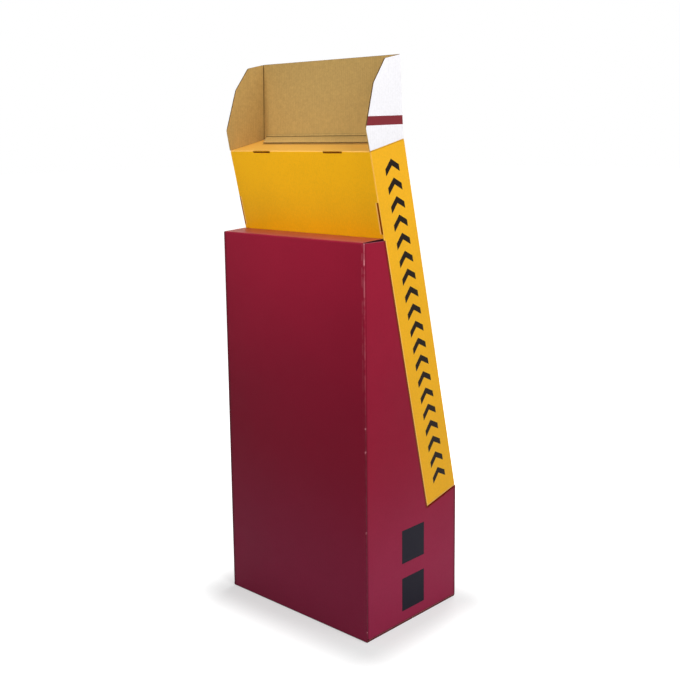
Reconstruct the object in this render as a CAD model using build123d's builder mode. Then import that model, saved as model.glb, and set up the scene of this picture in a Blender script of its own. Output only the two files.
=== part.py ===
from build123d import *
import os
from math import asin, cos, degrees, radians, sin

# Floor display stand of printed corrugated board: a base box with a slanted seat, a leaning tray with
# roll-over walls and shelves, and a header card. Millimetres, +Z up, front towards -Y, origin on the floor
# under the middle of the base.

# Overall sizes
base_width = 500.0
base_depth = 359.0
base_height = 991.5  # floor to the fold over the back panel
front_height = 314.0  # floor to the fold over the front panel
tray_lean = 12.85  # degrees that the tray leans back
tray_length = 938.5
tray_depth = 125.5

# Boards and the room between them
base_board = 4.0
support_board = 4.0
tray_board = 2.5
shelf_board = 2.5
header_board = 3.0
crease = 0.6  # radius left inside a fold
seat = 0.25  # room where one board rests on another
overrun = 30.0  # how far cuts run past the board

# Base box
bottom_slit = 2.5  # slit between two bottom flaps at each corner
bottom_seam = 2.0  # where the long bottom flaps meet
fold_tail = 12.0  # stretch of panel drawn with a fold
glue_flap = 38.0
glue_flap_end = 14.0  # from the ends of the corner to the glue flap
glue_flap_slant = 10.0
joint_groove_share = 0.75  # of the board, for the rounded fold seen in the glue joint
top_flap_lift = 3.5  # degrees that the top flap stands up
top_flap_side_gap = 1.0  # between the top flap and the side panels
top_edge_drop = 1.0  # from the fold over the back panel down to the side panels' top edges
top_flap_gap = 0.5  # between the top flap and the tray's back
tuck_length = 45.0  # tuck flap down behind the tray
ledge_side_gap = 0.75
cutout_gap = 1.0  # side panels below the ledge, at the tray's lower end
seat_flange = 40.0  # folded in from each slanted edge, for the tray's back to rest on
flange_relief = 6.0  # between a flange and the ends of its slanted edge

# Support under the ledge
support_inset = 14.0  # from the ledge's rear edge to the web
support_wing = 130.0
support_side_gap = 0.5

# Roll-over tray
tray_inset = 3.5  # narrower than the base at each side
wall_gap = 0.4  # between the outer and inner board of a wall
ridge_crease = 0.2  # radius left inside the folds of a ridge
corner_seam = 0.3  # between boards that meet at the tray's corners
lock_room = 2.0  # in a lock slot, between its tab and the outer board
slot_end_room = 0.5  # at each end of a lock slot
tab_recess_share = 0.6  # of the board, from the outer face to a tab's end
side_tab = 76.5
side_tab_end = 162.0  # from each end of the tray to the middle of the nearest side tab
side_tab_count = 3
end_tab = 61.0
end_tab_spacing = 249.5

# Shelves
shelf_count = 3
shelf_lip = 32.0
shelf_flange = 42.0
shelf_setback = 7.0  # lip behind the tray's front edge
shelf_side_gap = 0.5
shelf_tab = 60.0
shelf_slot_room = 0.4  # round a shelf's tab in its slot

# Header card
header_rise = 196.5  # above the tray's front top edge
header_inset = 1.0  # narrower than the tray at each side
header_taper = 2.0  # degrees that each wing leans in
header_lean = 0.8  # degrees that the panel leans back
wing_straight = 52.0  # rear edge of a wing that carries on the tray's back
wing_shoulder_shares = (0.817, 0.648)  # of the tray's depth and the header's rise
wing_top_shares = (0.478, 0.937)
wing_corner = 7.0
crease_rise = 6.5  # header's bottom fold above the tray
crease_strip = 8.0  # between the two creases of that fold
header_flap = 54.0
header_flap_inset = 9.5  # from the fold of a wing to the flap
header_flap_cut = 41.5  # slanted ends of the flap, along its fold
flap_spring = 1.2  # free edge of the flap above the tray

# Worked out from the sizes above
half_width = base_width / 2
half_depth = base_depth / 2
tray_half = half_width - tray_inset
base_fold = base_board + crease
support_fold = support_board + crease
tray_fold = tray_board + crease
shelf_fold = shelf_board + crease
header_fold = header_board + crease
joint_groove = joint_groove_share * base_board
tab_recess = tab_recess_share * tray_board
ridge = 2 * tray_board + wall_gap
ridge_fold = tray_board + ridge_crease
inside_half = tray_half - ridge
wall_foot = tray_board + seat  # lower edge of the inner boards, above the tray's back face
lean_sin = sin(radians(tray_lean))
lean_cos = cos(radians(tray_lean))
seat_y = tray_depth * lean_cos - half_depth
seat_z = front_height - tray_depth * lean_sin
short_floor = base_board + seat
floor_inside = short_floor + base_board
panel_foot = floor_inside + 2 * crease

# Planes of the tray, centred on its length: its back face, its cross-section, and its side view with the
# height along x
along_tray = Vector(0, lean_sin, lean_cos)
out_of_tray = Vector(0, -lean_cos, lean_sin)
tray_corner = Vector(0, seat_y, seat_z)
half_length = tray_length / 2
tray_middle = tray_corner + along_tray * half_length
tray_back = Plane(origin=tray_middle, x_dir=(1, 0, 0), z_dir=out_of_tray)
tray_section = Plane(origin=tray_middle, x_dir=(1, 0, 0), z_dir=-along_tray)
tray_side = Plane(origin=tray_middle, x_dir=along_tray, z_dir=(1, 0, 0))


def tray_point(height, depth):
    """The side-view place of a point given by its height along the tray and its depth from the tray's back."""
    place = tray_corner + along_tray * height + out_of_tray * depth
    return (place.Y, place.Z)


class FoldedBoard(BaseSketchObject):
    """Section of a board: one face follows the points, folded at each, with the board on their left."""

    def __init__(self, *points, board, fold=0):
        with BuildSketch() as section:
            with BuildLine():
                if fold:
                    FilletPolyline(*points, radius=fold)
                else:
                    Polyline(*points)
                offset(amount=board, side=Side.LEFT)
            make_face()
        super().__init__(section.sketch)


class BoxSpan(BaseSketchObject):
    """Rectangle between two opposite corners."""

    def __init__(self, low, high, mode=Mode.ADD):
        size = Vector(*high) - Vector(*low)
        middle = (Vector(*high) + Vector(*low)) / 2
        rectangle = Pos(middle) * Rectangle(size.X, size.Y, mode=Mode.PRIVATE)
        super().__init__(rectangle, mode=mode)


class RolledWall(BaseSketchObject):
    """Section of a roll-over wall: outer board up to the ridge and inner board down, outer face on x = 0."""

    def __init__(self):
        with BuildSketch() as section:
            BoxSpan((-ridge, wall_foot), (0, tray_depth))
            fillet(section.vertices().group_by(Axis.Y)[-1], ridge_fold)
            BoxSpan(
                (-tray_board - wall_gap, wall_foot), (-tray_board, tray_depth - tray_board), mode=Mode.SUBTRACT
            )
        super().__init__(section.sketch)


os.makedirs("parts", exist_ok=True)

# Base box: one sheet with the wrap, bottom flaps, top flap with its tuck, and ledge
with BuildPart() as base_box:
    # Wrap of four panels, square at the corner with the glue joint
    with BuildSketch(Plane.XY.offset(panel_foot)) as wrap:
        Rectangle(base_width, base_depth)
        corners = wrap.vertices().sort_by(lambda corner: corner.Y - corner.X)
        fillet(corners[:-1], base_fold)
        Rectangle(base_width - 2 * base_board, base_depth - 2 * base_board, mode=Mode.SUBTRACT)
        # Groove between the back panel's cut edge and the side panel's fold
        with BuildLine():
            Polyline(
                (-half_width, half_depth - base_board - joint_groove),
                (-half_width, half_depth - base_board),
                (joint_groove - half_width, half_depth - base_board),
            )
            RadiusArc(
                (-half_width, half_depth - base_board - joint_groove),
                (joint_groove - half_width, half_depth - base_board),
                joint_groove,
            )
        make_face(mode=Mode.SUBTRACT)
    extrude(amount=base_height - top_edge_drop - panel_foot)

    # Slanted seat for the tray, through both sides and the front
    with BuildSketch(tray_side):
        BoxSpan((-half_length - seat - cutout_gap, -seat), (half_length + overrun, tray_depth + base_depth))
    extrude(amount=half_width + overrun, both=True, mode=Mode.SUBTRACT)

    # Glue flap, on the inside of the back panel
    with BuildSketch(Plane.XZ.offset(base_board - half_depth)):
        flap_low = panel_foot + glue_flap_end
        flap_high = base_height - glue_flap_end
        with BuildLine():
            Polyline(
                (base_board - half_width, flap_low),
                (base_board + glue_flap - half_width, flap_low + glue_flap_slant),
                (base_board + glue_flap - half_width, flap_high - glue_flap_slant),
                (base_board - half_width, flap_high),
                close=True,
            )
        make_face()
    extrude(amount=base_board)

    # Long bottom flaps, folded from the back and front panels
    with BuildSketch(Plane.YZ):
        FoldedBoard(
            (bottom_seam / 2, 0), (half_depth, 0), (half_depth, panel_foot), board=base_board, fold=base_fold
        )
        mirror(about=Plane.YZ)
    extrude(amount=half_width - bottom_slit, both=True)

    # Short bottom flaps above them, folded from the side panels
    with BuildSketch(Plane.XZ):
        FoldedBoard(
            (half_width - half_depth + bottom_seam, short_floor),
            (half_width, short_floor),
            (half_width, panel_foot),
            board=base_board,
            fold=base_fold,
        )
        mirror(about=Plane.YZ)
    extrude(amount=half_depth - base_board - bottom_slit, both=True)

    # Top flap between the side panels, standing up a little, with its tuck flap down behind the tray
    lift_sin = sin(radians(top_flap_lift))
    lift_cos = cos(radians(top_flap_lift))
    back_fold = Vector(0, half_depth, base_height)
    fold_to_tray = -(back_fold - tray_corner).dot(out_of_tray)
    flap_length = (fold_to_tray - top_flap_gap) / (lift_cos * lean_cos + lift_sin * lean_sin)
    flap_front = (half_depth - flap_length * lift_cos, base_height + flap_length * lift_sin)
    tuck_end = (flap_front[0] - tuck_length * lean_sin, flap_front[1] - tuck_length * lean_cos)
    top_flap_half = half_width - base_board - top_flap_side_gap
    with BuildSketch(Plane.XY.offset(base_height - fold_tail)):
        BoxSpan((-top_flap_half, half_depth - base_board), (top_flap_half, half_depth))
    extrude(amount=overrun, mode=Mode.SUBTRACT)
    with BuildSketch(Plane.YZ):
        FoldedBoard(
            (half_depth, base_height - fold_tail),
            (half_depth, base_height),
            flap_front,
            tuck_end,
            board=base_board,
            fold=base_fold,
        )
    extrude(amount=top_flap_half, both=True)

    # Flanges folded in from the slanted edges, up to the tuck flap
    flange_low = flange_relief - half_length
    flange_high = (Vector(0, *tuck_end) - tray_middle).dot(along_tray) - flange_relief
    flange_end = tray_section.offset(-flange_high)
    with BuildSketch(flange_end):
        BoxSpan((half_width - base_board, -seat - fold_tail), (half_width + overrun, overrun))
        mirror(about=Plane.YZ)
    extrude(amount=flange_high - flange_low, mode=Mode.SUBTRACT)
    with BuildSketch(flange_end):
        FoldedBoard(
            (seat_flange - half_width, -seat),
            (-half_width, -seat),
            (-half_width, -seat - fold_tail),
            board=base_board,
            fold=base_fold,
        )
        mirror(about=Plane.YZ)
    extrude(amount=flange_high - flange_low)

    # Ledge that the tray stands on, folded from the front panel
    ledge_half = half_width - base_board - ledge_side_gap
    ledge_fold = front_height - seat / lean_cos
    with BuildSketch(Plane.XY.offset(ledge_fold - fold_tail)):
        BoxSpan((-ledge_half, -half_depth), (ledge_half, base_board - half_depth))
    extrude(amount=overrun, mode=Mode.SUBTRACT)
    with BuildSketch(Plane.YZ):
        FoldedBoard(
            tray_point(-seat, 0),
            (-half_depth, ledge_fold),
            (-half_depth, ledge_fold - fold_tail),
            board=base_board,
            fold=base_fold,
        )
    extrude(amount=ledge_half, both=True)
base_box.part.label = "base_box"
export_step(base_box.part, "parts/base_box.step")

# Support: a folded channel that stands on the bottom flaps and carries the ledge's rear edge
web_back = seat_y - support_inset
web_front = web_back - support_board
support_half = half_width - base_board - support_side_gap
support_foot = floor_inside + seat
with BuildPart() as support_partition:
    with BuildSketch(Plane.XY.offset(support_foot)):
        FoldedBoard(
            (-support_half, web_front + support_wing),
            (-support_half, web_front),
            (support_half, web_front),
            (support_half, web_front + support_wing),
            board=support_board,
            fold=support_fold,
        )
    extrude(amount=front_height)
    # Top edges cut to the slope of the ledge
    with BuildSketch(tray_side):
        BoxSpan((-half_length - base_board - 2 * seat, -base_depth), (half_length, base_depth))
    extrude(amount=half_width, both=True, mode=Mode.SUBTRACT)
support_partition.part.label = "support_partition"
export_step(support_partition.part, "parts/support_partition.step")

# Shelf places, as heights of the shelves' undersides from the middle of the tray
bay = (tray_length - 2 * ridge) / (shelf_count + 1)
shelf_places = [ridge - half_length + bay * (number + 1) for number in range(shelf_count)]
shelf_rear = tray_board + seat
shelf_front = tray_depth - shelf_setback
shelf_tab_low = (shelf_rear + shelf_front - shelf_tab) / 2
shelf_tab_high = shelf_tab_low + shelf_tab

# Product tray: one sheet with roll-over walls, locked by tabs in slots beside its folds
side_wall_half = half_length - tray_board - corner_seam
tab_pitch = (tray_length - 2 * side_tab_end) / (side_tab_count - 1)
with BuildPart() as product_tray:
    # Back panel with the two side walls, each rolled over its ridge and down to the back panel again
    with BuildSketch(tray_section):
        FoldedBoard(
            (-tray_half, fold_tail),
            (-tray_half, 0),
            (tray_half, 0),
            (tray_half, fold_tail),
            board=tray_board,
            fold=tray_fold,
        )
        with Locations((tray_half, 0)):
            RolledWall()
        mirror(about=Plane.YZ)
    extrude(amount=side_wall_half, both=True)

    # End walls: outer board with its fold, the board's ends, then the ridge with the inner board
    with BuildSketch(tray_side):
        FoldedBoard(
            (half_length - fold_tail, 0),
            (half_length, 0),
            (half_length, tray_depth - ridge_fold),
            board=tray_board,
            fold=tray_fold,
        )
        mirror(about=Plane.YZ)
    extrude(amount=tray_half - tray_fold, both=True)
    with BuildSketch(tray_side):
        BoxSpan((half_length - tray_board, tray_fold), (half_length, tray_depth - ridge_fold))
        mirror(about=Plane.YZ)
    extrude(amount=tray_half, both=True)
    with BuildSketch(tray_side):
        with Locations((half_length, 0)):
            RolledWall()
        mirror(about=Plane.YZ)
    extrude(amount=inside_half - corner_seam, both=True)

    # Lock slots through the back panel, with room on the outer side of the tabs
    side_tab_x = inside_half + tray_board / 2
    end_tab_height = half_length - ridge + tray_board / 2
    slot_width = tray_board + seat + lock_room
    slot_shift = (lock_room - seat) / 2
    with BuildSketch(tray_back):
        with GridLocations(2 * side_tab_x + 2 * slot_shift, tab_pitch, 2, side_tab_count):
            Rectangle(slot_width, side_tab + 2 * slot_end_room)
        with GridLocations(end_tab_spacing, 2 * end_tab_height + 2 * slot_shift, 2, 2):
            Rectangle(end_tab + 2 * slot_end_room, slot_width)
    extrude(amount=tray_board, mode=Mode.SUBTRACT)

    # Lock tabs of the inner boards, down in the slots
    with BuildSketch(tray_back.offset(tab_recess)):
        with GridLocations(2 * side_tab_x, tab_pitch, 2, side_tab_count):
            Rectangle(tray_board, side_tab)
        with GridLocations(end_tab_spacing, 2 * end_tab_height, 2, 2):
            Rectangle(end_tab, tray_board)
    extrude(amount=wall_foot + tray_board - tab_recess)

    # Slots for the shelf tabs, in the inner boards of the side walls
    with BuildSketch(tray_side):
        for place in shelf_places:
            BoxSpan(
                (place - shelf_slot_room, shelf_tab_low - shelf_slot_room),
                (place + shelf_board + shelf_slot_room, shelf_tab_high + shelf_slot_room),
            )
    extrude(amount=inside_half + tray_board + wall_gap / 2, both=True, mode=Mode.SUBTRACT)
product_tray.part.label = "product_tray"
export_step(product_tray.part, "parts/product_tray.step")

# Shelves: lip, panel and rear flange in one board, with a tab at each side
for name, place in zip(("shelf_lower", "shelf_middle", "shelf_upper"), shelf_places):
    with BuildPart() as shelf:
        with BuildSketch(tray_side):
            FoldedBoard(
                (place + shelf_lip, shelf_front),
                (place, shelf_front),
                (place, shelf_rear + shelf_board),
                (place - shelf_flange, shelf_rear + shelf_board),
                board=shelf_board,
                fold=[shelf_fold, crease],
            )
        extrude(amount=inside_half - shelf_side_gap, both=True)
        with BuildSketch(tray_side):
            BoxSpan((place, shelf_tab_low), (place + shelf_board, shelf_tab_high))
        extrude(amount=inside_half + tray_board, both=True)
    shelf.part.label = name
    export_step(shelf.part, f"parts/{name}.step")

# Header card: panel, two wings and a bottom flap, on the tray's top wall
header_corner = tray_corner + along_tray * tray_length + out_of_tray * tray_depth
header_up = Vector(0, sin(radians(header_lean)), cos(radians(header_lean)))
header_half = tray_half - header_inset
taper_sin = sin(radians(header_taper))
taper_cos = cos(radians(header_taper))
wing_fold = header_up * taper_cos - Vector(taper_sin, 0, 0)
wing_plane = Plane(
    origin=header_corner + Vector(header_half, 0, 0) - wing_fold * tray_depth,
    x_dir=Vector(taper_cos, 0, 0) + header_up * taper_sin,
    z_dir=wing_fold,
)
flap_fold = header_corner + header_up * crease_rise
flap_tail = flap_fold + header_up * fold_tail
flap_lift = degrees(asin((crease_rise * cos(radians(tray_lean - header_lean)) - flap_spring) / header_flap))
flap_drop = radians(tray_lean + flap_lift)
along_flap = Vector(0, cos(flap_drop), -sin(flap_drop))
flap_end = flap_fold + along_flap * header_flap
crease_reach = crease_strip / (along_flap - header_up).length
upper_crease = flap_fold + header_up * crease_reach
lower_crease = flap_fold + along_flap * crease_reach
flap_half = header_half - header_fold - header_flap_inset


def wing_point(back_share, rise_share):
    """A corner of a wing's outline, behind and above the tray's front top edge."""
    return (header_corner.Y + back_share * tray_depth, header_corner.Z + rise_share * header_rise)


with BuildPart() as header_card:
    # Panel and one wing, drawn square to the wing's fold, and the other half
    with BuildSketch(wing_plane):
        FoldedBoard(
            (-base_width, 0), (0, 0), (0, 2 * tray_depth), board=header_board, fold=header_fold
        )
    extrude(amount=tray_depth + header_rise + overrun)
    # Outline of the wings, with the panel's top edge
    with BuildSketch(Plane.YZ):
        with BuildLine():
            FilletPolyline(
                tray_point(tray_length + seat, tray_depth + overrun),
                tray_point(tray_length + seat, 0),
                tray_point(tray_length + seat + wing_straight, 0),
                wing_point(*wing_shoulder_shares),
                wing_point(*wing_top_shares),
                (header_corner.Y, header_corner.Z + header_rise),
                (header_corner.Y - overrun, header_corner.Z + header_rise),
                radius=[0, 0, wing_corner, wing_corner, wing_corner, 0, 0],
                close=True,
            )
        make_face()
    extrude(amount=base_width, both=True, mode=Mode.INTERSECT)
    split(bisect_by=Plane.YZ, keep=Keep.TOP)
    mirror(about=Plane.YZ)

    # Bottom flap, folded back over the tray's top wall, with slanted ends
    with BuildSketch(Plane.YZ):
        BoxSpan(
            (header_corner.Y - overrun, header_corner.Z - overrun),
            (header_corner.Y + header_fold, flap_tail.Z - crease),
        )
    extrude(amount=flap_half, both=True, mode=Mode.SUBTRACT)
    with BuildSketch(Plane.YZ):
        FoldedBoard(
            *((point.Y, point.Z) for point in (flap_tail, upper_crease, lower_crease, flap_end)),
            board=header_board,
            fold=header_fold,
        )
    extrude(amount=flap_half, both=True)
    with BuildSketch(Plane.XY.offset(flap_end.Z - overrun)):
        with BuildLine():
            Polyline(
                (flap_half, flap_fold.Y + header_fold),
                (flap_half, flap_end.Y + header_board),
                (flap_half - header_flap_cut, flap_end.Y + header_board),
                close=True,
            )
        make_face()
        mirror(about=Plane.YZ)
    extrude(amount=2 * overrun, mode=Mode.SUBTRACT)
header_card.part.label = "header_card"
export_step(header_card.part, "parts/header_card.step")
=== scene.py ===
from math import cos, pi, radians, sin, tan

import bpy
from bpy.props import FloatProperty, FloatVectorProperty, IntProperty, PointerProperty
from mathutils import Matrix, Vector


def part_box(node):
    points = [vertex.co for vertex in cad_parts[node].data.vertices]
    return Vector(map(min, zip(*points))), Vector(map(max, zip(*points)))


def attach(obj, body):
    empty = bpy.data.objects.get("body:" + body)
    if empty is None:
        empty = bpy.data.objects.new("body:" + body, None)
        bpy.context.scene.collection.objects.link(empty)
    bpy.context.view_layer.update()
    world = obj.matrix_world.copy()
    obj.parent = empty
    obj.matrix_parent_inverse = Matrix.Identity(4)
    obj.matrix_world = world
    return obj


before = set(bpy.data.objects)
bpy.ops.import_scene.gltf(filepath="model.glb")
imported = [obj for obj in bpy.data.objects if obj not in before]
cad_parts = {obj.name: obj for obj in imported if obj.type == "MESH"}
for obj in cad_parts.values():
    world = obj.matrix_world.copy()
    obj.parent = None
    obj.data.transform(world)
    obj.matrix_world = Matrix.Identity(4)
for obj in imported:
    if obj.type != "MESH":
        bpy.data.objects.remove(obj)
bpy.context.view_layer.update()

bl_info = {
    "name": "Floor display stand",
    "version": (1, 0, 0),
    "blender": (4, 5, 0),
    "location": "3D View > Sidebar > Display stand",
    "description": "Finishes a printed corrugated board display stand and sets its studio stage",
    "category": "Object",
}

BODY = "root"
SHELVES = ("shelf_lower", "shelf_middle", "shelf_upper")
WHITE = (1.0, 1.0, 1.0, 1.0)
BARE_ROUGH = 0.85
CRACK_FADE = 0.04

# How near a place has to be to a face to count as on it, in metres
THIN = 0.0001
HAIR = 0.0002
SEAM = 0.0004
LEVEL = 0.001

# How far a face has to turn to a direction, where 1 is straight at it
SLIGHTLY = 0.1
A_LITTLE = 0.2
PARTLY = 0.3
OUTWARD = 0.35
HEADER_OUTWARD = 0.4
HALFWAY = 0.5
MOSTLY = 0.7
UPWARD = 0.8
FACING = 0.9
CLOSELY = 0.95
FLATLY = 0.97
BEFORE_FLAT = 0.985
SQUARELY = 0.995

# Top of the base: from its highest point down to the tops of the sides, to the lowest face that still
# counts as its top and to the foot of the flap's cut ends, and from the sides up to the fold of the back
SIDE_DROP = 0.0053
TOP_ZONE = 0.007
FLAP_END_ZONE = 0.0169
BACK_RISE = 0.001

# Nicks of the glue joint: height above the floor and half the height of each
JOINT_NICKS = (
    (0.99, 0.003), (0.947, 0.011), (0.547, 0.003), (0.488, 0.005), (0.286, 0.003), (0.029, 0.002)
)

# A unit flute: its steps, its swing, and how near points are that count as one step or as one point
FLUTE_STEPS = 8
FLUTE_REACH = 0.42
PICK_REACH = 0.01
MERGE_REACH = 0.00001

# Cut edges: where the header's wings lie, room that the flutes leave at folds and at the shelves' ends,
# the shortest slope that has flutes, and how the cut edges of the header are turned
WING_INSIDE = 0.2
WING_ROOM = 0.0095
PANEL_ROOM = 0.0035
LIP_ROOM = 0.0045
SLOPE_LEAST = 0.02
SLOPE_SIDEWAYS = 0.01
SLOPE_BACK = 0.15
FLAP_EDGE_DROP = (-0.4, -0.25)
NORMAL_DIGITS = 3

# Sockets of a Mix node that mixes colours
MIX_FIRST = 6
MIX_SECOND = 7
MIX_RESULT = 2


def ink(name, description, colour):
    """A colour that a user can change, written as a display colour from 0 to 1."""
    return FloatVectorProperty(
        name=name, description=description, default=colour, size=3, min=0, max=1, subtype="COLOR_GAMMA"
    )


def length(name, description, metres):
    """A length that a user can change, in metres."""
    return FloatProperty(name=name, description=description, default=metres, unit="LENGTH", precision=5)


def span(name, description, metres):
    """Two lengths that a user can change, in metres, the shorter one first."""
    return FloatVectorProperty(
        name=name, description=description, default=metres, size=2, unit="LENGTH", precision=5
    )


def angle(name, description, degrees):
    """An angle that a user can change, written in degrees."""
    return FloatProperty(name=name, description=description, default=radians(degrees), unit="ROTATION")


def place(name, description, metres):
    """A place that a user can change, in metres."""
    return FloatVectorProperty(
        name=name, description=description, default=metres, subtype="XYZ", unit="LENGTH"
    )


def power(name, description, watts):
    """A lamp's power that a user can change, in watts."""
    return FloatProperty(name=name, description=description, default=watts, unit="POWER")


class StandInks(bpy.types.PropertyGroup):
    """Colours of the print and of the bare board, and the colours of its painted shade and painted
    highlights.
    """

    base: ink("Base", "Flood colour at the top of the base box", (0.602, 0.085, 0.2))
    # The middle and foot colours are painted light: painted shade half way up, painted light from the
    # floor at the foot
    base_middle_shaded: ink("Base, middle", "Flood colour half way up the base box", (0.562, 0.06, 0.185))
    base_foot_floor_lit: ink("Base, foot", "Flood colour at the foot of the base box", (0.6, 0.134, 0.277))
    tray: ink("Tray", "Flood colour of the tray and the shelves", (0.965, 0.71, 0.078))
    white: ink("White liner", "Outside of the header card", (0.975, 0.97, 0.985))
    stripe: ink("Stripe", "Stripe round the foot of the header card", (0.515, 0.193, 0.22))
    dark: ink("Dark print", "Squares on the sides of the base", (0.06, 0.045, 0.11))
    black: ink("Black print", "Chevrons on the sides of the tray", (0.07, 0.025, 0.0))
    kraft: ink("Kraft", "Bare inside of every board", (0.757, 0.624, 0.378))
    # Painted shade: cut edges darker than the bare paper, darker still in the flutes' mouths
    edge: ink("Cut edge", "Cut edges of the boards", (0.34, 0.25, 0.14))
    cut: ink("Cut paper", "Paper of the flutes at a cut edge", (0.5, 0.39, 0.235))
    # Painted shade: the dark of the slots and of the tabs' ends in them
    slot: ink("Slot", "Cut walls of the lock slots", (0.62, 0.26, 0.0))
    scuff: ink("Scuff", "Paper that shows where the print has cracked", (0.95, 0.62, 0.66))
    # Painted shade: the dark where the tray enters the base and under the header's flap
    crevice: ink("Crevice", "Dark line where the tray sits in the base", (0.46, 0.06, 0.0))
    rubbed: ink("Rubbed print", "Print worn thin along an edge", (0.67, 0.33, 0.39))
    # Painted highlight: the pale of the tray's folds, borders and top, and a faint painted sheen on its
    # sides
    glint: ink("Stretched print", "Tray's print drawn over a tight fold", (1.0, 0.78, 0.46))


class StandPrint(bpy.types.PropertyGroup):
    """Places and sizes of the printed shapes, and of the painted light and shade on the base and in the
    header.
    """

    square: length("Square", "Side of a printed square", 0.0882)
    square_low: length("Lower square", "Floor to the lower square", 0.0352)
    square_pitch: length("Square pitch", "From one square to the next above it", 0.1276)
    square_middle: length("Squares' middle", "Middle of the squares, behind the base's middle", 0.0008)
    # Heights of the painted shade and the painted floor light up the base
    lower_shading: span("Lower tone", "Heights from the base's foot colour to its middle colour", (0.08, 0.5))
    upper_shading: span("Upper tone", "Heights from the base's middle colour to its top colour", (0.5, 0.95))
    stripe_low: length("Stripe", "Floor to the lower edge of the header's stripe", 1.2627)
    stripe_width: length("Stripe width", "Width of the header's stripe", 0.0212)
    stripe_tilt: angle("Stripe tilt", "How far the stripe falls to the back", 1.5)
    crease_half: length("Crease half length", "Half the length of the flap's creases", 0.2324)
    crease_upper: length("Upper crease", "Floor to the upper crease of the header's flap", 1.2414)
    crease_lower: length("Lower crease", "Floor to the lower crease of the header's flap", 1.23648)
    # Painted shade in the header's creases
    wing_crease: span("Wing's crease", "Fold to both ends of the fade of its line", (0.0006, 0.0022))
    flap_crease: span("Flap's creases", "Crease to both ends of the fade of its line", (0.0007, 0.0017))
    # Painted light on the header's flap, and painted shade on its free edge
    flap_top: length("Header's flap", "Floor to just above the header's flap", 1.243)
    flap_shading: span("Flap's tone", "Heights between which the header's flap darkens", (1.218, 1.238))
    flap_edge: length("Flap's edge", "Floor to just above the free edge of the header's flap", 1.225)
    wing_edge: length("Wings' edges", "Floor to just below the cut edges of the header's wings", 1.26)
    chevron_margin: length("Chevron margin", "Back edge of the tray to the chevrons", 0.0415)
    chevron_span: length("Chevron span", "Width of a chevron across the tray's side", 0.0505)
    chevron_rise: length("Chevron rise", "Rise of a chevron to its point", 0.02)
    chevron_stroke: length("Chevron stroke", "Width of a chevron's arms along the tray", 0.017)
    chevron_low: length("Row of chevrons, low end", "Lower end of the tray to the chevrons", 0.046)
    chevron_high: length("Row of chevrons, high end", "Upper end of the tray to the chevrons", 0.034)
    chevron_count: IntProperty(
        name="Chevrons", description="Chevrons on a side of the tray", default=19, min=2
    )


class StandWearAndLight(bpy.types.PropertyGroup):
    """Sizes of the worn places of the print on the base and the tray, and of its painted shade and painted
    highlights.
    """

    joint_line: span("Joint's line", "Joint's corner to both edges of the rubbed line", (0.005, 0.0085))
    joint_corner: length("Joint's corner", "Width of the rubbed corner of the glue joint", 0.0024)
    joint_nick: length("Joint's nicks", "How far a nick reaches from the joint's corner", 0.0025)
    joint_rub: span("Joint's wear", "Heights between which the joint's wear grows", (0.55, 0.92))
    joint_dark: span("Joint's tone", "Heights between which its cut edge grows lighter", (0.45, 0.75))
    groove: span("Groove", "Width and depth of the groove at the glue joint", (0.0031, 0.0032))
    # Painted shade at the upright folds and painted shadow at the foot
    fold_shade: span("Fold's shade", "Upright fold to both ends of the fade of its shade", (0.003, 0.017))
    side_foot: span("Sides' foot", "Floor to both ends of the fade on the sides", (0.002, 0.011))
    foot: span("Foot", "Floor to both ends of the fade at the foot", (0.001, 0.008))
    under_rim: length("Rim underneath", "Width of the print round the underside", 0.012)
    rim: length("Rubbed rim", "Height of the rubbed print at the tops of the sides", 0.0012)
    # Painted reflection of the tray's yellow on the flap
    flap_reflection: length("Flap's glow", "Middle of the base to where the flap's yellow fades", 0.105)
    flap_rub: length("Flap's wear", "Middle of the base to where the flap's wear begins", 0.13)
    # Painted shade on the flap's cut ends
    flap_liner: span("Flap's liner", "Its top to both ends of the fade on its cut ends", (0.0004, 0.0008))
    # Painted shade where the tray sits
    seat_edge: span("Seat's edge", "Heights between which the seat's front cut edge lies", (0.27, 0.33))
    seat_shade: length("Seat's shade", "Width of the dark line on the sides behind the tray", 0.007)
    end_shade: length("Seat's end", "Width of the dark line below the tray's lower end", 0.003)
    # Painted highlights along the seat and on the tray's folds and top
    seat_border: span("Seat's border", "Tray's back to both edges of the pale line", (0.0036, 0.0066))
    tray_fold: length("Tray's folds", "Width of a fold of the tray", 0.0035)
    fold_glint: length("Folds' glint", "Width of the stretched print on the tray's folds", 0.004)
    top_front: length("Top's glint", "Tray's back to the pale print of its top wall", 0.003)
    # Painted light at the top of the tray's back
    back_light: length("Back's lift", "Height of the paler print at the top of the tray's back", 0.25)
    # Painted shade in and above the slots
    top_slot: span("Top slots", "Middle of the tray to both ends of a top slot", (0.09375, 0.15575))
    slot_shade_fade: span("Slots' tone", "Tray's top to both ends of the fade in the slots", (0.01, 0.03))
    # Painted highlight beside the side slots
    slot_border: span("Slots' border", "Tray's side to both edges of the pale line", (0.0062, 0.0094))
    slot_border_ends: span("Slots' border ends", "Tray's top to both ends of that line", (0.123, 0.201))
    tab_ends: span("Tabs' ends", "Tray's back to the ends of the tabs in the slots", (0.0008, 0.002))
    # Painted shadow under the header's flap
    flap_line: span("Flap's line", "Tray's back to both edges of the line at the flap", (0.0655, 0.0705))
    flap_line_half: length("Flap's line, half", "Half the length of that line", 0.191)


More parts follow.
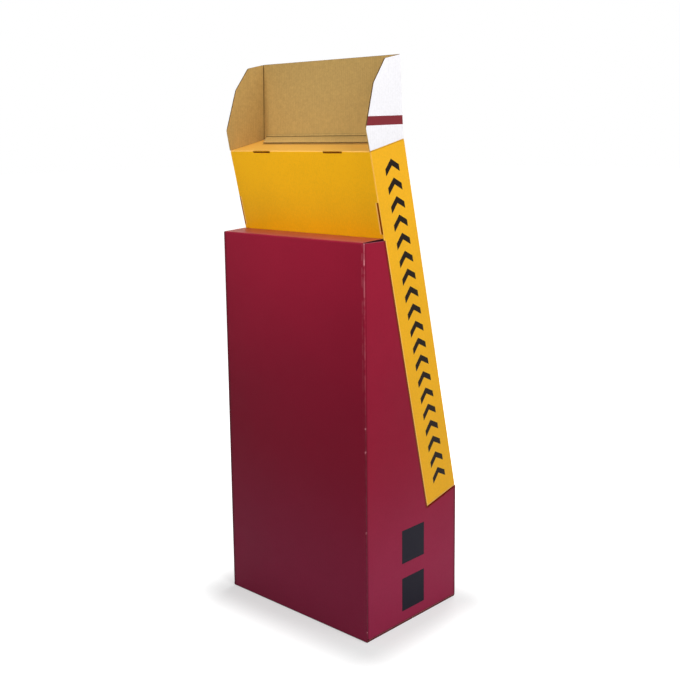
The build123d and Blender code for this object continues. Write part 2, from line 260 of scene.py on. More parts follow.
class StandBoard(bpy.types.PropertyGroup):
    """Make of the corrugated boards."""

    tray_lean: angle("Tray lean", "How far the tray leans back", 12.85)
    header_lean: angle("Header lean", "How far the header leans back", 0.8)
    header_taper: angle("Header taper", "How far the header's wings lean in", 2.0)
    header_board: length("Header board", "Thickness of the header's board", 0.003)
    base_board: length("Base board", "Thickness of the base's board", 0.004)
    tray_board: length("Tray board", "Thickness of the tray's and the shelves' board", 0.0025)
    edge_proud: length("Cut edge", "How far the paper stands out of a cut edge", 0.0003)
    edge_paper: length("Paper", "Thickness of a liner or a flute at a cut edge", 0.0003)
    flute_pitch: length("Flute pitch", "From one flute to the next", 0.0064)
    top_flap_lift: angle("Top flap's lift", "How far the base's top flap stands up", 3.5)
    grain_show: length("Grain show", "How deep the grain of the paper shows", 0.00002)
    warp_show: length("Warp show", "How deep the slow warp of a board shows", 0.002)
    flute_show: length("Flute show", "How deep the flutes show through the print", 0.00001)


class StandStage(bpy.types.PropertyGroup):
    """Camera, light and floor."""

    camera_place: place("Camera's place", "Where the camera stands", (-1.8193, 1.9188, 1.2413))
    camera_heading: angle("Camera heading", "Turn of the camera about the vertical", 223.448)
    camera_drop: angle("Camera drop", "How far the camera looks down", 9.263)
    camera_roll: angle("Camera roll", "Turn of the camera about its own axis", 0.681)
    lens: FloatProperty(
        name="Lens", description="Focal length in millimetres", default=53.932, unit="CAMERA"
    )
    camera_shift: FloatProperty(name="Camera shift", description="Upward shift", default=-0.0588)
    side_place: place("Side light's place", "Where the side light stands", (-2.4, 0.3, 2.2))
    side_power: power("Side light", "Power of the side light", 50.0)
    front_place: place("Front light's place", "Where the fill light in front stands", (0.9, -2.6, 1.5))
    front_power: power("Front light", "Power of the fill light in front", 42.0)
    light_aim: place("Lights' aim", "Where the side light and the front light point", (0, 0, 0.8))
    light_size: length("Lights' size", "Width of the side light and of the front light", 1.8)
    top_place: place("Top light's place", "Where the top light stands", (0.2, 1.5, 1.9))
    top_power: power("Top light", "Power of the top light", 1.75)
    top_aim: place("Top light's aim", "Where the top light points", (0, 0.15, 1.2))
    top_size: length("Top light's size", "Width of the top light", 0.8)
    top_spread: angle("Top light's spread", "Spread of the top light", 50.0)
    ambient: FloatProperty(name="Ambient", description="Light from all round", default=0.25, min=0)
    floor_size: length("Floor", "Side of the floor", 60.0)
    floor_seen: ink("Floor's colour", "Floor as the camera sees it", (0.722, 0.733, 0.733))
    floor_bounce: ink("Floor's bounce", "Floor as it lights the stand", (0.77, 0.77, 0.77))
    shadow_reach: length("Shadow's reach", "How far the shadow reaches out from the base", 0.17)
    shadow_shift: length("Shadow's shift", "How far the shadow lies to the left and to the back", 0.02)


def linear(colour):
    """A display colour as the linear colour, with opacity, that shader sockets take."""
    return [c / 12.92 if c <= 0.04045 else ((c + 0.055) / 1.055) ** 2.4 for c in colour] + [1.0]


def extent(node, direction):
    """Lowest and highest place of a CAD node along a direction."""
    places = [vertex.co.dot(direction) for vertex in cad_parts[node].data.vertices]
    return min(places), max(places)


class Finish:
    """One material's node tree, built a socket at a time, with the settings that it is made from."""

    def __init__(self, name):
        scene = bpy.context.scene
        self.inks = scene.stand_inks
        self.prints = scene.stand_print
        self.wear_and_light = scene.stand_wear
        self.board = scene.stand_board
        self.material = bpy.data.materials.new(name)
        self.material.use_nodes = True
        self.tree = self.material.node_tree
        self.tree.nodes.clear()
        self.place = self.add("ShaderNodeTexCoord").outputs["Object"]
        self.x, self.y, self.z = self.parts(self.place)
        self.normal = self.add("ShaderNodeNewGeometry").outputs["True Normal"]
        self.nx, self.ny, self.nz = self.parts(self.normal)

    def add(self, kind, **settings):
        """A new node with its settings."""
        node = self.tree.nodes.new(kind)
        for name, value in settings.items():
            setattr(node, name, value)
        return node

    def ink(self, name):
        """One of the stand's colours, as shader sockets take it."""
        return linear(getattr(self.inks, name))

    def put(self, socket, value):
        """Links a socket, or sets its value."""
        if isinstance(value, bpy.types.NodeSocket):
            self.tree.links.new(value, socket)
        else:
            socket.default_value = value

    def parts(self, vector):
        """The three parts of a vector."""
        node = self.add("ShaderNodeSeparateXYZ")
        self.put(node.inputs[0], vector)
        return node.outputs

    def math(self, operation, *values):
        """The result of one operation on numbers."""
        node = self.add("ShaderNodeMath", operation=operation)
        for socket, value in zip(node.inputs, values):
            self.put(socket, value)
        return node.outputs[0]

    def chain(self, operation, values):
        """One operation carried through several values."""
        found = values[0]
        for value in values[1:]:
            found = self.math(operation, found, value)
        return found

    def most(self, *values):
        """The largest of several values."""
        return self.chain("MAXIMUM", values)

    def least(self, *values):
        """The smallest of several values."""
        return self.chain("MINIMUM", values)

    def both(self, *masks):
        """Where all the masks hold, as their product."""
        return self.chain("MULTIPLY", masks)

    def faint(self, mask, share):
        """A mask that holds only in part."""
        return self.both(mask, share)

    def other(self, mask):
        """Where a mask doesn't hold."""
        return self.math("SUBTRACT", 1.0, mask)

    def off(self, value, middle=0.0):
        """How far a value lies from a middle."""
        return self.math("ABSOLUTE", self.math("SUBTRACT", value, middle))

    def over(self, value, edge):
        """Where a value is larger than an edge."""
        return self.math("GREATER_THAN", value, edge)

    def under(self, value, edge):
        """Where a value is smaller than an edge."""
        return self.math("LESS_THAN", value, edge)

    def between(self, value, low, high):
        """Where a value lies between two edges."""
        return self.both(self.over(value, low), self.under(value, high))

    def ramp(self, value, low, high, to_low=0.0, to_high=1.0):
        """A value carried smoothly from one span to another."""
        node = self.add("ShaderNodeMapRange", interpolation_type="SMOOTHSTEP")
        for socket, item in zip(node.inputs, (value, low, high, to_low, to_high)):
            self.put(socket, item)
        return node.outputs[0]

    def dot(self, vector, direction):
        """How far a vector reaches along a fixed direction."""
        node = self.add("ShaderNodeVectorMath", operation="DOT_PRODUCT")
        self.put(node.inputs[0], vector)
        self.put(node.inputs[1], direction)
        return node.outputs["Value"]

    def along(self, direction):
        """Place along a fixed direction."""
        return self.dot(self.place, direction)

    def facing(self, direction):
        """How far the face turns to a fixed direction."""
        return self.dot(self.normal, direction)

    def faces(self, direction):
        """Where the face looks along a fixed direction."""
        return self.over(self.facing(direction), FACING)

    def outward(self, place, normal):
        """How far the face turns away from the middle, by one part of its place and of its normal."""
        return self.both(self.math("SIGN", place), normal)

    def noise(self, scale, detail=2.0, stretch=(1, 1, 1)):
        """Cloudy noise around 0.5, with its scale in waves to the metre."""
        mapping = self.add("ShaderNodeMapping")
        self.put(mapping.inputs["Vector"], self.place)
        self.put(mapping.inputs["Scale"], stretch)
        node = self.add("ShaderNodeTexNoise")
        self.put(node.inputs["Vector"], mapping.outputs[0])
        self.put(node.inputs["Scale"], scale)
        self.put(node.inputs["Detail"], detail)
        return node.outputs["Fac"]

    def mix(self, share, first, second, blend="MIX"):
        """Two colours mixed by a share of the second."""
        node = self.add("ShaderNodeMix", data_type="RGBA", blend_type=blend)
        self.put(node.inputs[0], share)
        self.put(node.inputs[MIX_FIRST], first)
        self.put(node.inputs[MIX_SECOND], second)
        return node.outputs[MIX_RESULT]

    def shade(self, colour, *factors):
        """A colour made lighter or darker by factors around 1."""
        for factor in factors:
            if isinstance(factor, float):
                factor = (factor, factor, factor, 1.0)
            colour = self.mix(1.0, colour, factor, "MULTIPLY")
        return colour

    def sway(self, value, reach):
        """A factor around 1 from a value around 0.5."""
        return self.math("MULTIPLY_ADD", value, 2 * reach, 1 - reach)

    def finish(self, colour, roughness, height, specular):
        """The finished material, with its relief in metres."""
        shader = self.add("ShaderNodeBsdfPrincipled")
        self.put(shader.inputs["Base Color"], colour)
        self.put(shader.inputs["Roughness"], roughness)
        self.put(shader.inputs["Specular IOR Level"], specular)
        bump = self.add("ShaderNodeBump")
        self.put(bump.inputs["Height"], height)
        self.put(bump.inputs["Distance"], 1.0)
        self.put(shader.inputs["Normal"], bump.outputs[0])
        output = self.add("ShaderNodeOutputMaterial")
        self.put(output.inputs["Surface"], shader.outputs[0])
        return self.material


def flute_wave(f, across):
    """The flutes under the paper, as a wave from -1 to 1."""
    return f.math("SINE", f.math("MULTIPLY", across, 2 * pi / f.board.flute_pitch))


def flute_tone(f, wave, reach):
    """Lighter and darker paper over the flutes, as a factor around 1."""
    return f.math("MULTIPLY_ADD", wave, reach, 1.0)


def kraft_colour(f, wave, paper="kraft"):
    """Bare kraft: cloudy tone, fibres, a few flecks and the shade of the flutes."""
    cloud = f.sway(f.noise(scale=60.0, detail=5.0), reach=0.1)
    fibre = f.sway(f.noise(scale=170.0, detail=4.0), reach=0.17)
    specks = f.noise(scale=650.0, detail=1.0, stretch=(1, 1, 3))
    fleck = f.ramp(specks, low=0.66, high=0.74, to_low=1.0, to_high=0.72)
    return f.shade(f.ink(paper), cloud, fibre, fleck, flute_tone(f, wave, reach=0.025))


def print_tone(f, wave):
    """Unevenness of a flood of ink, as one factor around 1."""
    cloud = f.sway(f.noise(scale=9.0, detail=5.0), reach=0.07)
    grain = f.sway(f.noise(scale=190.0, detail=4.0), reach=0.1)
    return f.both(cloud, grain, flute_tone(f, wave, reach=0.012))


def edge_colour(f):
    """Cut edge: pale paper, with painted shade in the mouths of the flutes."""
    across = f.math("ADD", f.x, f.y)
    mouth_shade = f.ramp(flute_wave(f, across), low=-0.2, high=0.5, to_low=1.0, to_high=0.45)
    fibre = f.sway(f.noise(scale=900.0), reach=0.2)
    return f.shade(f.ink("edge"), mouth_shade, fibre)


def board_height(f, wave, printed):
    """Surface relief in metres: flutes, a slow warp, and paper grain that is calmer under print."""
    flute = f.math("MULTIPLY", wave, f.board.flute_show)
    grain = f.math("MULTIPLY", f.noise(scale=900.0, detail=3.0), f.board.grain_show)
    warp = f.math("MULTIPLY", f.noise(scale=3.0, detail=1.0), f.board.warp_show)
    calm = f.other(f.faint(printed, share=0.7))
    return f.math("ADD", f.math("ADD", flute, warp), f.both(grain, calm))


def board_material(f, colour, wave, printed, gloss, specular):
    """The finished board, rough where it is bare and smoother where it is printed."""
    print_rough = f.math("ADD", f.faint(f.noise(scale=30.0), share=0.12), gloss)
    smoother = f.both(printed, f.math("SUBTRACT", print_rough, BARE_ROUGH))
    return f.finish(colour, f.math("ADD", BARE_ROUGH, smoother), board_height(f, wave, printed), specular)


def wear_at_folds(f, printed, share):
    """Cracked print on the round of the folds."""
    fold = f.under(f.most(*(f.off(part) for part in (f.nx, f.ny, f.nz))), FLATLY)
    crack = f.ramp(f.noise(scale=160.0, detail=3.0), low=1 - share, high=1 - share + CRACK_FADE)
    return f.both(fold, crack, printed)


def dress(node, material):
    """Gives a CAD node its finish."""
    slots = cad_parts[node].data.materials
    slots.clear()
    slots.append(material)


def base_tops():
    """Heights of the tops of the base's sides and of the fold at the top of its back."""
    side_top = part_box("base_box")[1].z - SIDE_DROP
    return side_top, side_top + BACK_RISE


def base_flood(f, side_out, wave):
    """Maroon flood with painted light up the base: painted shade half way up and painted floor light at
    the foot; and two dark squares on each side.
    """
    half = f.prints.square / 2
    across = f.between(f.y, f.prints.square_middle - half, f.prints.square_middle + half)
    lows = (f.prints.square_low, f.prints.square_low + f.prints.square_pitch)
    rows = f.most(*(f.between(f.z, low, low + f.prints.square) for low in lows))
    square = f.both(across, rows, f.over(side_out, FACING))
    lower = f.mix(f.ramp(f.z, *f.prints.lower_shading), f.ink("base_foot_floor_lit"), f.ink("base_middle_shaded"))
    flood = f.mix(f.ramp(f.z, *f.prints.upper_shading), lower, f.ink("base"))
    return f.shade(f.mix(square, flood, f.ink("dark")), print_tone(f, wave))


def base_top_wear_and_light(f, colour):
    """Top of the base: rubbed rims of the sides, painted shade on the sides' top cut edges, and a flap
    with a painted reflection of the tray's yellow that is also rubbed.
    """
    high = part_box("base_box")[1]
    side_top = base_tops()[0]
    upward = f.over(f.nz, FACING)
    rim = f.both(f.over(f.off(f.x), high.x - SEAM), f.between(f.z, side_top - f.wear_and_light.rim, side_top + THIN))
    flap = f.both(upward, f.over(f.z, side_top - SEAM))
    # Painted reflection of the tray's yellow on the flap, strongest towards the tray
    glow = f.both(flap, f.ramp(f.y, f.wear_and_light.flap_reflection, high.y, to_low=0.2, to_high=0.08))
    rub = f.both(flap, f.ramp(f.y, f.wear_and_light.flap_rub, high.y, to_high=0.14))
    # Painted shade on the sides' top cut edges, beside the gap under the flap
    side_edge_shade = f.both(upward, f.between(f.z, side_top - HAIR, side_top + HAIR))
    colour = f.mix(f.faint(rim, share=0.7), colour, f.ink("rubbed"))
    colour = f.mix(glow, colour, f.ink("tray"))
    colour = f.mix(rub, colour, f.ink("scuff"))
    return f.mix(side_edge_shade, colour, f.shade(f.ink("rubbed"), 0.35))


def base_seat_shade(f, side_out):
    """Painted shade where the tray sits: the seat's cut edges and folds, and the sides close by."""
    up, out = tray_axes()
    rear = extent("product_tray", out)[0]
    low = extent("product_tray", up)[0] - LEVEL
    beside = f.over(f.off(f.x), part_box("base_box")[1].x - f.board.base_board - SEAM)
    edge = f.both(f.faces(up), f.between(f.z, *f.wear_and_light.seat_edge), beside)
    fold = f.both(
        f.over(f.facing(out), SLIGHTLY), f.over(side_out, PARTLY), f.under(f.facing(up), HALFWAY)
    )
    behind = f.both(f.over(f.along(out), rear - f.wear_and_light.seat_shade), f.over(f.along(up), low))
    below = f.both(f.over(f.along(out), rear), f.between(f.along(up), low - f.wear_and_light.end_shade, low))
    close_by = f.both(f.over(side_out, FACING), f.most(behind, below))
    return f.most(edge, fold, f.faint(close_by, share=0.75))


def base_joint(f, colour):
    """Glue joint: the back's cut edge, darker towards the floor, and painted shade in the groove in front
    of it.
    """
    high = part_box("base_box")[1]
    inner = high.y - f.board.base_board
    edge = f.both(f.under(f.x, SEAM - high.x), f.over(f.y, inner + SEAM))
    width, depth = f.wear_and_light.groove
    groove = f.both(f.under(f.x, depth - high.x), f.between(f.y, inner - width, inner))
    colour = f.mix(edge, colour, f.shade(colour, f.ramp(f.z, *f.wear_and_light.joint_dark, to_low=0.42)))
    # Painted shade in the groove
    return f.mix(groove, colour, f.shade(colour, 0.75))


def joint_wear(f):
    """Pale wear at the glue joint: a rubbed corner and line, worn most at the top, and a few nicks."""
    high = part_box("base_box")[1]
    from_back = f.math("SUBTRACT", high.y, f.y)
    away = f.math("ADD", f.math("ADD", f.x, high.x), from_back)
    patchy = f.ramp(f.noise(scale=110.0, detail=4.0, stretch=(1, 1, 0.5)), low=0.36, high=0.6)
    line = f.both(f.between(away, *f.wear_and_light.joint_line), f.under(from_back, HAIR))
    corner = f.under(away, f.wear_and_light.joint_corner)
    rubbed = f.both(
        f.most(f.faint(line, share=0.15), f.faint(corner, share=0.28)),
        patchy,
        f.ramp(f.z, *f.wear_and_light.joint_rub, to_low=0.12),
    )
    nicks = f.most(
        *(f.ramp(f.off(f.z, z), 0.5 * tall, tall, to_low=1.0, to_high=0.0) for z, tall in JOINT_NICKS)
    )
    chip = f.ramp(f.noise(scale=260.0), low=0.4, high=0.5)
    chipped = f.both(nicks, chip, f.under(away, f.wear_and_light.joint_nick))
    return f.most(rubbed, f.faint(chipped, share=0.6))


def base_fold_shade(f):
    """Painted shade where the board is bent at the three upright folds, and painted shadow at the foot, as
    a factor.
    """
    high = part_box("base_box")[1]
    folds = []
    for right, rear in ((1, 1), (1, -1), (-1, -1)):
        from_side = f.math("MULTIPLY_ADD", f.x, -right, high.x)
        from_end = f.math("MULTIPLY_ADD", f.y, -rear, high.y)
        folds.append(f.ramp(f.math("ADD", from_side, from_end), *f.wear_and_light.fold_shade, to_low=0.5))
    side = f.over(f.off(f.x), high.x - f.board.base_board)
    side_foot = f.most(f.ramp(f.z, *f.wear_and_light.side_foot, to_low=0.36), f.other(side))
    return f.least(side_foot, f.ramp(f.z, *f.wear_and_light.foot, to_low=0.6), *folds)


def flap_end_shade(f):
    """Painted shade on the top flap's cut ends, dark in the flutes and lighter along its top, as a factor.
    """
    from_back = f.math("SUBTRACT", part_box("base_box")[1].y, f.y)
    flap_top = f.math("MULTIPLY_ADD", from_back, tan(f.board.top_flap_lift), base_tops()[1])
    return f.ramp(f.math("SUBTRACT", flap_top, f.z), *f.wear_and_light.flap_liner, to_low=0.5, to_high=0.06)


def base_finish():
    """Maroon outside and kraft inside, worn at the glue joint and the folds, with painted shade where the
    tray sits, at the folds and at the foot, and a painted reflection of the tray on the flap.
    """
    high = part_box("base_box")[1]
    f = Finish("base_print")
    wide = f.off(f.x)
    side_out = f.outward(f.x, f.nx)
    top_out = f.both(f.nz, f.over(f.z, high.z - TOP_ZONE))
    from_rim = f.least(f.math("SUBTRACT", high.x, wide), f.math("SUBTRACT", high.y, f.off(f.y)))
    under_rim = f.under(from_rim, f.wear_and_light.under_rim)
    under_out = f.both(f.facing(Vector((0, 0, -1))), f.under(f.z, LEVEL), under_rim)
    outside = f.over(f.most(side_out, f.outward(f.y, f.ny), top_out, under_out), OUTWARD)
    flap_end = f.both(
        f.over(f.off(f.nx), MOSTLY),
        f.over(f.z, high.z - FLAP_END_ZONE),
        f.under(wide, high.x - f.board.base_board - HAIR),
    )
    printed = f.both(outside, f.other(flap_end))
    wave = flute_wave(f, f.math("ADD", f.x, f.y))

    colour = f.mix(printed, kraft_colour(f, wave), base_flood(f, side_out, wave))
    colour = base_top_wear_and_light(f, colour)
    colour = f.mix(base_seat_shade(f, side_out), colour, f.ink("crevice"))
    colour = base_joint(f, colour)
    colour = f.shade(colour, f.mix(outside, WHITE, base_fold_shade(f)))
    colour = f.mix(flap_end, colour, f.shade(f.ink("rubbed"), flap_end_shade(f)))
    worn = f.most(joint_wear(f), wear_at_folds(f, printed, share=0.12))
    colour = f.mix(worn, colour, f.ink("scuff"))
    return board_material(f, colour, wave, printed, gloss=0.38, specular=0.09)


def tray_axes():
    """Directions along the tray and out of its open front."""
    lean = bpy.context.scene.stand_board.tray_lean
    return Vector((0, sin(lean), cos(lean))), Vector((0, -cos(lean), sin(lean)))


def tray_sizes():
    """Length of the tray and its half width."""
    bottom, top = extent("product_tray", tray_axes()[0])
    return top - bottom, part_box("product_tray")[1].x


def tray_places(f):
    """How far a place lies below the tray's top, in front of its back and in from its sides."""
    up, out = tray_axes()
    below = f.math("SUBTRACT", extent("product_tray", up)[1], f.along(up))
    ahead = f.math("SUBTRACT", f.along(out), extent("product_tray", out)[0])
    return below, ahead, f.math("SUBTRACT", tray_sizes()[1], f.off(f.x))


def seat_depth():
    """How far below the tray's top its back passes the tops of the base's sides."""
    up, out = tray_axes()
    level = base_tops()[0]
    back = extent("product_tray", out)[0]
    return extent("product_tray", up)[1] - up.dot(Vector((0, (back - out.z * level) / out.y, level)))


def tray_slots(f, below, ahead, inset):
    """Cut walls of the lock slots, the ends of the tabs in them, and the fold just above the top ones: the
    places that get painted shade.
    """
    up, out = tray_axes()
    rearward = f.facing(-out)
    cut_wall = f.over(f.most(f.off(f.nx), f.off(f.facing(up))), SQUARELY)
    tab_end = f.both(f.over(rearward, FACING), f.between(ahead, *f.wear_and_light.tab_ends))
    slot = f.both(
        f.most(cut_wall, tab_end),
        f.between(ahead, THIN, f.board.tray_board - THIN),
        f.over(inset, SEAM),
        f.between(below, SEAM, tray_sizes()[0] - SEAM),
    )
    # Painted shade over the fold above each top slot
    fold_slot_shade = f.both(
        f.between(rearward, HALFWAY, BEFORE_FLAT),
        f.over(f.facing(up), SLIGHTLY),
        f.under(below, f.wear_and_light.tray_fold),
        f.between(f.off(f.x), *f.wear_and_light.top_slot),
    )
    return f.most(slot, fold_slot_shade)


def tray_chevrons(f, below, ahead, wall):
    """Row of chevrons up each side of the tray."""
    half = f.prints.chevron_span / 2
    off_middle = f.off(ahead, f.prints.chevron_margin + half)
    first = tray_sizes()[0] - f.prints.chevron_low - f.prints.chevron_rise
    pitch = (first - f.prints.chevron_high - f.prints.chevron_stroke) / (f.prints.chevron_count - 1)
    steep = f.prints.chevron_rise / half
    row = f.math("MULTIPLY_ADD", off_middle, steep, f.math("SUBTRACT", first, below))
    return f.both(
        f.under(f.math("FLOORED_MODULO", row, pitch), f.prints.chevron_stroke),
        f.between(row, 0.0, pitch * (f.prints.chevron_count - 0.5)),
        f.under(off_middle, half),
        wall,
    )


def tray_glints(f, below, ahead, inset, wall):
    """Painted highlights on the tray: over its folds, beside its slots, along the seat and its lower end,
    and on its top.
    """
    up, out = tray_axes()
    rearward = f.facing(-out)
    seat = seat_depth()
    top_fold = f.both(
        f.between(rearward, PARTLY, CLOSELY),
        f.over(f.facing(up), A_LITTLE),
        f.under(below, f.wear_and_light.fold_glint),
    )
    side_fold = f.both(
        f.between(rearward, A_LITTLE, FLATLY),
        f.under(below, seat),
        f.under(inset, f.wear_and_light.fold_glint),
    )
    slot_border = f.both(
        f.under(ahead, HAIR),
        f.between(inset, *f.wear_and_light.slot_border),
        f.between(below, *f.wear_and_light.slot_border_ends),
    )
    seat_border = f.both(wall, f.over(below, seat), f.between(ahead, *f.wear_and_light.seat_border))
    low_border = f.both(wall, f.over(below, tray_sizes()[0] - f.wear_and_light.tray_fold))
    top_wall = f.both(f.faces(up), f.under(below, LEVEL), f.over(ahead, f.wear_and_light.top_front))
    return f.most(
        f.faint(top_fold, share=0.75),
        f.faint(side_fold, share=0.4),
        f.faint(slot_border, share=0.9),
        f.faint(f.most(seat_border, low_border), share=0.65),
        f.faint(top_wall, share=0.48),
    )


def tray_painted_shade(f, below, ahead, inset):
    """Painted shade where the tray enters the base, and painted shadow under the free edge of the header's
    flap.
    """
    beside_seat = f.both(
        f.under(inset, f.wear_and_light.tray_fold),
        f.over(below, seat_depth()),
        f.under(ahead, f.wear_and_light.seat_border[0]),
    )
    flap_line = f.both(
        f.under(below, HAIR),
        f.under(f.off(f.x), f.wear_and_light.flap_line_half),
        f.between(ahead, *f.wear_and_light.flap_line),
    )
    return f.most(f.faint(beside_seat, share=0.95), f.faint(flap_line, share=0.5))


def tray_finish():
    """Yellow print with chevrons up the sides, and bare kraft on the inside of the back, with painted
    highlights, painted sheen and light, and painted shade in the slots and crevices.
    """
    out = tray_axes()[1]
    f = Finish("tray_print")
    board = f.board.tray_board
    below, ahead, inset = tray_places(f)
    wall = f.under(inset, SEAM)
    inside_back = f.both(f.between(ahead, board - SEAM, board + SEAM), f.faces(out))
    ends = f.most(f.under(below, board), f.over(below, tray_sizes()[0] - board))
    slots = tray_slots(f, below, ahead, inset)
    printed = f.other(f.most(inside_back, slots))
    wave = flute_wave(f, f.x)

    # Painted sheen: the tray's sides a little paler
    ground_and_sheen = f.mix(f.faint(wall, share=0.06), f.ink("tray"), f.ink("glint"))
    flood = f.mix(tray_chevrons(f, below, ahead, wall), ground_and_sheen, f.ink("black"))
    # Painted light: the tray's back paler towards its top
    painted_brightening = f.ramp(below, 0.0, f.wear_and_light.back_light, to_low=0.08, to_high=0.0)
    painted_top_light = f.math("MULTIPLY_ADD", f.faces(-out), painted_brightening, 1.0)
    flood = f.shade(flood, print_tone(f, wave), painted_top_light)
    colour = f.mix(printed, kraft_colour(f, wave), flood)
    colour = f.mix(f.both(f.under(inset, HAIR), ends), colour, f.shade(colour, 0.75))
    speckle = f.sway(f.noise(scale=800.0), reach=0.3)
    # Painted shade in the slots, darkest near the tray's top
    deeper_shade = f.ramp(below, *f.wear_and_light.slot_shade_fade, to_low=0.4)
    colour = f.mix(slots, colour, f.shade(f.ink("slot"), speckle, deeper_shade))
    glints = f.both(tray_glints(f, below, ahead, inset, wall), printed)
    colour = f.mix(glints, colour, f.ink("glint"))
    colour = f.mix(tray_painted_shade(f, below, ahead, inset), colour, f.ink("crevice"))
    colour = f.mix(wear_at_folds(f, printed, share=0.14), colour, f.ink("scuff"))
    return board_material(f, colour, wave, printed, gloss=0.36, specular=0.1)


def shelf_finish():
    """Yellow lip, underside and flange, kraft top."""
    up, out = tray_axes()
    f = Finish("shelf_print")
    printed = f.over(f.most(f.facing(out), f.facing(-up)), HALFWAY)
    wave = flute_wave(f, f.x)
    flood = f.shade(f.ink("tray"), print_tone(f, wave))
    colour = f.mix(printed, kraft_colour(f, wave), flood)
    lip_back = extent("shelf_upper", out)[1] - f.board.tray_board - SEAM
    lip_top = f.both(f.faces(up), f.over(f.along(out), lip_back))
    colour = f.mix(lip_top, colour, f.ink("edge"))
    return board_material(f, colour, wave, printed, gloss=0.36, specular=0.3)


def header_finish():
    """White outside with a maroon stripe, kraft inside, painted shade at its cut edges and creases, and
    painted light on its flap.
    """
    f = Finish("header_print")
    printed = f.over(f.math("SUBTRACT", f.outward(f.x, f.nx), f.ny), HEADER_OUTWARD)
    side = f.over(f.off(f.nx), MOSTLY)
    face = f.over(f.off(f.ny), FLATLY)
    wave = flute_wave(f, f.math("ADD", f.x, f.y))
    height = f.along(Vector((0, sin(f.prints.stripe_tilt), cos(f.prints.stripe_tilt))))
    stripe = f.between(height, f.prints.stripe_low, f.prints.stripe_low + f.prints.stripe_width)
    flood = f.shade(f.mix(stripe, f.ink("white"), f.ink("stripe")), print_tone(f, wave))
    colour = f.mix(printed, kraft_colour(f, wave), flood)
    # Painted light: the flap faces up and is lighter, most at its free edge
    flap_top = f.both(f.over(f.nz, UPWARD), f.under(f.z, f.prints.flap_top))
    painted_brightening = f.ramp(f.z, *f.prints.flap_shading, to_low=1.3, to_high=1.05)
    colour = f.mix(flap_top, colour, f.shade(colour, painted_brightening))
    edge = f.other(f.most(printed, side, face, f.under(f.z, f.prints.wing_edge)))
    # Painted shade on the cut edges and on the flap's free edge
    flap_edge = f.both(f.between(f.ny, FACING, FLATLY), f.under(f.z, f.prints.flap_edge))
    colour = f.mix(f.most(edge, f.faint(flap_edge, share=0.6)), colour, edge_colour(f))
    colour = f.shade(colour, header_crease_shade(f, printed))
    return board_material(f, colour, wave, printed, gloss=0.4, specular=0.06)


def header_axes():
    """Directions through the header's front panel, to the back, and out through its wing."""
    board = bpy.context.scene.stand_board
    lean = Vector((0, cos(board.header_lean), -sin(board.header_lean)))
    rise = Vector((0, sin(board.header_lean), cos(board.header_lean)))
    return lean, Vector((cos(board.header_taper), 0, 0)) + rise * sin(board.header_taper)


def header_crease_shade(f, printed):
    """Painted shade in the scored folds inside the header, as a factor."""
    board = f.board.header_board
    lean, wide = header_axes()
    behind = f.math("SUBTRACT", f.along(lean), extent("header_card", lean)[0] + board)
    over = f.math("ADD", f.both(f.off(f.x), wide.x), f.along(wide - Vector((wide.x, 0, 0))))
    inward = f.math("SUBTRACT", extent("header_card", wide)[1] - board, over)
    wing_fold = f.ramp(f.most(behind, inward), *f.prints.wing_crease, to_low=0.42)
    upper = f.ramp(f.off(f.z, f.prints.crease_upper), *f.prints.flap_crease, to_low=0.85)
    lower = f.ramp(f.off(f.z, f.prints.crease_lower), *f.prints.flap_crease, to_low=0.4)
    flap_folds = f.most(f.least(upper, lower), f.over(f.off(f.x), f.prints.crease_half))
    return f.most(f.least(wing_fold, flap_folds), printed)


def kraft_finish(name, paper):
    """Bare board on both sides."""
    f = Finish(name)
    wave = flute_wave(f, f.math("ADD", f.x, f.y))
    return f.finish(kraft_colour(f, wave, paper), BARE_ROUGH, board_height(f, wave, 0.0), specular=0.2)


def pick(piece, test):
    """Selects the vertices of a piece whose place passes a test, in edit mode."""
    bpy.ops.object.mode_set(mode="EDIT")
    bpy.ops.mesh.select_mode(type="VERT")
    bpy.ops.mesh.select_all(action="DESELECT")
    bpy.ops.object.mode_set(mode="OBJECT")
    for vertex in piece.data.vertices:
        vertex.select = test(vertex.co)
    bpy.ops.object.mode_set(mode="EDIT")


def one_flute():
    """One wave of fluting between two liners, of unit size, as paper with no thickness."""
    upright = (pi / 2, 0, 0)
    bpy.ops.object.select_all(action="DESELECT")
    bpy.ops.mesh.primitive_grid_add(
        x_subdivisions=FLUTE_STEPS, y_subdivisions=1, size=1, location=(0.5, 0, 0.5), rotation=upright
    )
    flute = bpy.context.active_object
    bpy.ops.object.transform_apply(location=True, rotation=True, scale=True)
    for step in range(1, FLUTE_STEPS):
        across = step / FLUTE_STEPS
        pick(flute, lambda place: abs(place.x - across) < PICK_REACH)
        bpy.ops.transform.translate(value=(0, FLUTE_REACH * sin(2 * pi * across), 0))
    for side in (-0.5, 0.5):
        bpy.ops.mesh.primitive_plane_add(size=1, location=(0.5, side, 0.5), rotation=upright)
    bpy.ops.object.mode_set(mode="OBJECT")
    return flute


